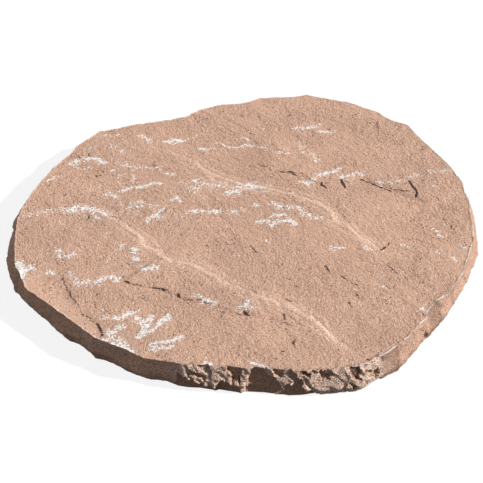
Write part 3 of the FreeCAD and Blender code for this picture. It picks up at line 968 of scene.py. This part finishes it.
# How granular the edge is, how much painted shade it has, and how worn the rim, by corner number
GRANULAR = ((0, 0.7), (6, 0.7), (22, 0.6), (26, 0.5), (27, 1), (30.5, 1), (30.75, 0.75),
            (31.3, 0.7), (35, 0.7))
EDGE_PAINTED_SHADE = ((0, 0.09), (3, 0.09), (6, 0), (30.5, 0), (30.6, 0.45), (30.9, 0.5), (31, 0.75),
             (31.1, 0.09), (32.1, 0.09), (32.2, 0.66), (32.7, 0.66), (32.8, 0.09), (33.25, 0.09),
             (33.3, 0.5), (33.42, 0.5), (33.47, 0.09), (35, 0.09))
RIM_WEAR = ((0, 0.9), (2, 0.8), (4, 0.4), (22, 0.3), (23, 0.6), (25, 0.5), (26, 0.1), (27.9, 0.1),
            (28.1, 0.8), (28.4, 0.8), (28.6, 0.1), (29.5, 0.3), (30, 1), (35, 0.9))
BED_GRANULAR = 0.5
POCKET_SMOOTH = 0.7
RISER_SMOOTH = 0.8
# Stretches of the risers that show: their mean share, its contrast and their span in mm
RISER_SHARE = 1.05
RISER_CONTRAST = 1.1
RISER_SPAN = 30
RISER_FULLNESS = 2.5


def riser_share(x, y):
    """1 in the middle of each bed of the broad risers, 0 away from them. A bed that rises under
    1 mm counts by the cube of its rise."""
    beds = [bed for layer in LAYER_EDGES[:2] for bed in strands_of(x, y, *layer)]
    patches = RISER_SHARE + RISER_CONTRAST * unevenness(on_ground(x, y), RISER_SPAN, 45)
    shares = [taper * min(rise, 1) ** 3 * smooth_step(RISER_FULLNESS * (1 - np.abs(inward) / riser))
              for inward, taper, rise, riser in beds]
    return smooth_step(patches) * np.max(shares, axis=0)


def from_rim(values, end):
    """A value of the rim for each point of the walking face, by its share of the way round."""
    return np.interp(top_passed * AROUND, np.arange(AROUND + 1), np.append(values, end))


# Share of the broad risers, which are painted paler, partly as painted highlight
fresh_and_highlight = riser_share(top_x, top_y)
tread = smooth_step(2 * drawn(top_x, top_y, SMOOTH_TREAD))
top_ring, top_passed = (values.ravel() for values in ring_places(TOP_CELLS))
top_places = from_rim(places, len(CORNERS))
support = np.sum(edge[0, :, :2] * outward[:, :2], axis=1)
rim_gap = (1 - top_ring) * from_rim(support, support[0])
grained = by_corner(places, GRANULAR) * (1 - POCKET_SMOOTH * in_pocket[1:])
# Painted shade on the edge: the hollows' share, or the patches' from the table, whichever is more
painted_edge_shade = np.maximum(painted_shade[1:], by_corner(places, EDGE_PAINTED_SHADE))
print(f"risers on {np.mean(fresh_and_highlight > 0.5):.1%} of the face, soil on {np.mean(painted_edge_shade > 0.3):.1%} "
      "of the edge")

# %% Keep the wear, painted light and painted shade with the mesh
# Each value on the points of the walking face, of the edge's rows and of the bed face
plain_top, plain_rows = np.zeros(len(top_points)), np.zeros((EDGE_ROWS, AROUND))
# Besides wear, these hold painted highlight on the risers and in the scuffs, and painted shade in
# the cracks and on the edge
WEAR_AND_PAINTED_LIGHT = {
    "rub_and_glint": (rub_and_glint, plain_rows, 0),
    "crack_shade": (crack_shade, plain_rows, 0),
    "fresh_and_highlight": (fresh_and_highlight, plain_rows, 0),
    "rim_gap": (rim_gap, edge[1:, :, 2] - edge[0, :, 2], -THICKNESS),
    "rim_wear": (by_corner(top_places, RIM_WEAR), plain_rows + by_corner(places, RIM_WEAR), 0),
    "smooth": (np.maximum(tread, RISER_SMOOTH * fresh_and_highlight), plain_rows, 0),
    "granular": (by_corner(top_places, GRANULAR), grained, BED_GRANULAR),
    "painted_edge_shade": (plain_top, painted_edge_shade, 0),
    "broken": (np.where(top_ring == 1, 0.5, plain_top), plain_rows + 1, 1),
}
for name, (top_values, row_values, bed_value) in WEAR_AND_PAINTED_LIGHT.items():
    bed_values = np.full(len(bed_points), bed_value)
    values = np.concatenate([top_values, row_values.ravel(), bed_values])
    attribute = slab_mesh.attributes.new(name, "FLOAT", "POINT")
    attribute.data.foreach_set("value", values.astype(np.float32))
print(f"{len(WEAR_AND_PAINTED_LIGHT)} values kept at each of {len(values)} points")

# %% [markdown]
# ## Sandstone
# Sandstone is quartz grains in an iron-stained cement: matte, sandy to the touch, a dusty pink
# brown. Nothing in it shines but single grains. A scanned picture of stone would repeat and stretch
# over the edge, so the finish is built from clouds and cells of a known size: grain near its true
# scale, slow changes of tint along the bedding, and small pits with painted shade in them.

# %% Patterns in sandstone
# Riven sandstone, split and never polished: the eye sees matte grain of many tints and no gloss
sandstone = bpy.data.materials.new("riven_sandstone")
sandstone.use_nodes = True
tree = sandstone.node_tree
tree.nodes.clear()
here = add(tree, "ShaderNodeTexCoord").outputs["Object"]
kept = {name: add(tree, "ShaderNodeAttribute", attribute_name=name).outputs["Fac"] for name in WEAR_AND_PAINTED_LIGHT}
# Clouds: span of the lumps in mm, heading and stretch, detail and roughness. Real grains of sand
# are under 1 mm, too fine to show in the render, so the finest are drawn a little coarser.
CLOUDS = {
    "sand": (1.3, RIPPLE_HEADING, 1.5, 3, 0.65),
    "grain": (3.0, RIPPLE_HEADING, 1.6, 2, 0.6),
    "ripples": (9, BEDDING_HEADING, 2.4, 3, 0.55),
    "rough_patches": (40, BEDDING_HEADING, 1.8, 2, 0.55),
    "pit_patches": (28, 0, 1, 2, 0.55),
    "tint": (30, 0, 1, 4, 0.55),
    "cement": (1.3, 0, 1, 1, 0.55),
    "quartz_patches": (45, BEDDING_HEADING, 2.0, 2, 0.55),
    "speck_patches": (22, BEDDING_HEADING, 2.0, 2, 0.55),
    "break_lumps": (1.7, 0, 1, 2, 0.6),
    "break_grain": (1.5, 0, 1, 2, 0.65),
    "rub_and_glint_dots": (1.7, 25, 1.4, 1, 0.6),
    "rub_and_glint_wisps": (4, 15, 2.0, 3, 0.85),
    "rim_chips": (14, 0, 1, 4, 0.7),
    "crack_grain": (1.3, -8, 2.0, 2, 0.7),
}
# Cells, of which a few are picked: span in mm, heading and stretch
CELLS = {"pits": (4.2, 0, 1), "specks": (2.0, RIPPLE_HEADING, 1.7)}

turned = {}
for name, (_, heading, stretch, *_) in {**CLOUDS, **CELLS}.items():
    turned[name] = add(tree, "ShaderNodeMapping", {
        "Vector": here, "Rotation": (0, 0, math.radians(heading)), "Scale": (stretch, 1, 1),
    }, vector_type="TEXTURE")
cloud = {}
for name, (span, _, _, detail, roughness) in CLOUDS.items():
    cloud[name] = add(tree, "ShaderNodeTexNoise", {
        "Vector": turned[name], "Scale": 1 / (span * MM), "Detail": detail, "Roughness": roughness})
cell, pick = {}, {}
for name, (span, _, _) in CELLS.items():
    cell[name] = add(tree, "ShaderNodeTexVoronoi", {
        "Vector": turned[name], "Scale": 1 / (span * MM)})
    pick[name] = add(tree, "ShaderNodeSeparateColor", {0: cell[name].outputs["Color"]}).outputs
print(f"{len(cloud)} clouds and {len(cell)} kinds of cells, {min(CLOUDS.values())[0]} mm and up")

# %% [markdown]
# ## Where each mark shows
# A mark is a share from 0 to 1 of a place. Most are read from one pattern, which is eased from
# nothing to full between two of its values, since a hard limit would flicker. A mark that needs
# several things at once, such as a pit in a picked cell in a pitted patch, is their product.

# %% Marks
rim_distance = add(tree, "ShaderNodeMath", {0: kept["rim_gap"]}, operation="ABSOLUTE")
# Value that a share is read from, where it starts and where it is full
EASED = {
    "rough_patches": (cloud["rough_patches"], 0.35, 0.65),
    "pit_pick": (pick["pits"][0], 0.7, 0.74),
    "pit_middle": (cell["pits"], 0.3, 0.12),
    "pit_patches": (cloud["pit_patches"], 0.5, 0.62),
    "splintered": (kept["granular"], 0.7, 1.0),
    "cement": (cloud["cement"], 0.6, 0.35),
    "quartz_pick": (pick["specks"][1], 0.9, 0.93),
    "quartz_middle": (cell["specks"], 0.42, 0.2),
    "quartz_patches": (cloud["quartz_patches"], 0.42, 0.6),
    "speck_middle": (cell["specks"], 0.44, 0.22),
    "speck_patches": (cloud["speck_patches"], 0.4, 0.58),
    "break_grain": (cloud["break_grain"], 0.5, 0.6),
    "rim_edge": (rim_distance, 1.6, 0.3),
}
mark = {}
for name, (value, start, full) in EASED.items():
    mark[name] = add(tree, "ShaderNodeMapRange", {
        "Value": value, "From Min": start, "From Max": full}, interpolation_type="SMOOTHSTEP")
PRODUCTS = {
    # Pits, which the colour darkens with painted shade
    "pit_and_shade": (mark["pit_pick"], mark["pit_middle"], mark["pit_patches"]),
    "quartz": (mark["quartz_pick"], mark["quartz_middle"], mark["quartz_patches"]),
    # The splintered part of the broken edge, which is painted paler, partly as painted light
    "split": (kept["broken"], mark["splintered"]),
    "rim": (mark["rim_edge"], kept["rim_wear"]),
}
for name, (first, *further) in PRODUCTS.items():
    mark[name] = first
    for share in further:
        mark[name] = add(tree, "ShaderNodeMath", {0: mark[name], 1: share}, operation="MULTIPLY")
print(f"{len(EASED)} shares eased, {len(PRODUCTS)} products of them")

# %% Marks that add up
# Each value is a sum of parts with their weights, eased as before between two of its values
RUBBED_AND_GLINTING = ((cloud["rub_and_glint_dots"], 0.75), (cloud["rub_and_glint_wisps"], 0.25), (kept["rub_and_glint"], 0.37))
SUMMED = {
    "speck_pick": (((pick["specks"][0], 1), (mark["split"], 0.3)), 0.79, 0.83),
    "pale_rub_and_glint": (RUBBED_AND_GLINTING, 0.66, 0.76),
    "white_rub_and_glint": (RUBBED_AND_GLINTING, 0.74, 0.775),
    "worn_rim": (((cloud["rim_chips"], 1), (mark["rim"], 0.3)), 0.68, 0.78),
    "crack_shade": (((kept["crack_shade"], 1), (cloud["crack_grain"], 0.9)), 0.85, 1.05),
}
for name, (parts, start, full) in SUMMED.items():
    total = 0
    for part, weight in parts:
        total = add(tree, "ShaderNodeMath", {0: part, 1: weight, 2: total},
                    operation="MULTIPLY_ADD")
    mark[name] = add(tree, "ShaderNodeMapRange", {
        "Value": total, "From Min": start, "From Max": full}, interpolation_type="SMOOTHSTEP")
broken_specks = add(tree, "ShaderNodeMath", {0: kept["broken"], 1: 0.7}, operation="MULTIPLY")
where_specks = add(tree, "ShaderNodeMath", {0: mark["speck_patches"], 1: broken_specks},
                   operation="MAXIMUM")
picked_specks = add(tree, "ShaderNodeMath", {0: mark["speck_pick"], 1: mark["speck_middle"]},
                    operation="MULTIPLY")
mark["speck"] = add(tree, "ShaderNodeMath", {0: picked_specks, 1: where_specks},
                    operation="MULTIPLY")
dark_break = add(tree, "ShaderNodeMath", {0: mark["split"], 1: -0.7, 2: kept["broken"]},
                 operation="MULTIPLY_ADD")
mark["dark_grain"] = add(tree, "ShaderNodeMath", {0: dark_break, 1: mark["break_grain"]},
                         operation="MULTIPLY")
print(f"{len(mark)} marks in all")

# %% [markdown]
# ## Relief and colour
# The grain is too fine for the mesh, so it is a bump: one height on the cleft face, which is
# lower where the stone is smooth, and another on the broken edge. The colour is laid on in coats
# over the stone's own tint, as a painter would, so that each coat can be judged alone.

# %% Relief
# Height in mm that each pattern adds, and the mean of the face's heights
FACE_RELIEF = ((cloud["sand"], 1.9), (cloud["grain"], 1.6), (cloud["ripples"], 2.3),
               (mark["pit_and_shade"], -1.0))
BREAK_RELIEF = ((cloud["break_lumps"], 2.2), (cloud["sand"], 1.6))
MEAN_HEIGHT = 2.7
# How rough the face is outside the rough patches, how much more inside, and how much less if smooth
ROUGH_LEAST = 0.75
ROUGH_MORE = 0.5
SMOOTH_LESS = 0.6

face_height = -MEAN_HEIGHT
for part, weight in FACE_RELIEF:
    face_height = add(tree, "ShaderNodeMath", {0: part, 1: weight, 2: face_height},
                      operation="MULTIPLY_ADD")
break_height = 0
for part, weight in BREAK_RELIEF:
    break_height = add(tree, "ShaderNodeMath", {0: part, 1: weight, 2: break_height},
                       operation="MULTIPLY_ADD")
patchy = add(tree, "ShaderNodeMath", {0: mark["rough_patches"], 1: ROUGH_MORE, 2: ROUGH_LEAST},
             operation="MULTIPLY_ADD")
unsmoothed = add(tree, "ShaderNodeMath", {0: kept["smooth"], 1: -SMOOTH_LESS, 2: 1},
                 operation="MULTIPLY_ADD")
coarse = add(tree, "ShaderNodeMath", {0: patchy, 1: unsmoothed}, operation="MULTIPLY")
face_height = add(tree, "ShaderNodeMath", {0: face_height, 1: coarse}, operation="MULTIPLY")
break_height = add(tree, "ShaderNodeMath", {0: break_height, 1: kept["granular"]},
                   operation="MULTIPLY")
height = add(tree, "ShaderNodeMix", {0: kept["broken"], 2: face_height, 3: break_height})
relief = add(tree, "ShaderNodeBump", {"Height": height, "Distance": MM, "Strength": 1.0})
print(f"relief of {len(FACE_RELIEF)} patterns on the face, {len(BREAK_RELIEF)} on the broken edge")

# %% Coats of colour
# Two ends of the stone's own tint: value of the cloud, colour
TINTS = ((0.3, "#e0b59b"), (0.7, "#ebc0a5"))
# Where each coat lies, how strong it is and its colour, from the first to the last
COATS = (
    # Risers paler, partly as fresh breaks and partly as painted highlight
    (kept["fresh_and_highlight"], 0.75, "#f8d8c2"),
    # The splintered edge paler, partly as a fresh break and partly as painted light
    (mark["split"], 0.85, "#f8decb"),
    # Painted shade: darkens the hollows, a few patches on the right and faintly the whole edge
    (kept["painted_edge_shade"], 1, "#43342d"),
    (mark["cement"], 1, "#c59d87"),
    # Painted shade in the pits
    (mark["pit_and_shade"], 0.7, "#80685c"),
    (mark["quartz"], 0.7, "#f8eadf"),
    (mark["speck"], 0.85, "#6e574c"),
    (mark["dark_grain"], 0.45, "#7c5f50"),
    # Pale scuffs; their white dots are partly painted highlight
    (mark["pale_rub_and_glint"], 0.45, "#e6cdbb"),
    (mark["white_rub_and_glint"], 1, "#fffaf5"),
    (mark["worn_rim"], 1, "#efe2d8"),
    # Painted shade along the cracks
    (mark["crack_shade"], 1, "#4f3f38"),
)

tint = add(tree, "ShaderNodeValToRGB", {"Fac": cloud["tint"]})
for stop, (place, code) in zip(tint.color_ramp.elements, TINTS):
    stop.position = place
    stop.color = linear(code)
colour = tint.outputs["Color"]
for where, strength, code in COATS:
    share = add(tree, "ShaderNodeMath", {0: where, 1: strength}, operation="MULTIPLY")
    coat = add(tree, "ShaderNodeMix", {0: share, 6: colour, 7: linear(code)}, data_type="RGBA")
    colour = coat.outputs[2]
stone = add(tree, "ShaderNodeBsdfPrincipled", {
    "Base Color": colour, "Roughness": 0.95, "Specular IOR Level": 0.2, "Normal": relief})
add(tree, "ShaderNodeOutputMaterial", {"Surface": stone})
slab_mesh.materials.append(sandstone)
print(f"riven sandstone on {slab.name}: {len(COATS)} coats, {len(tree.nodes)} nodes")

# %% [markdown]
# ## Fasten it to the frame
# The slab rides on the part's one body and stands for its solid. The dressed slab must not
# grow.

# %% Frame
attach(slab, "root")
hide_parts(NODE)
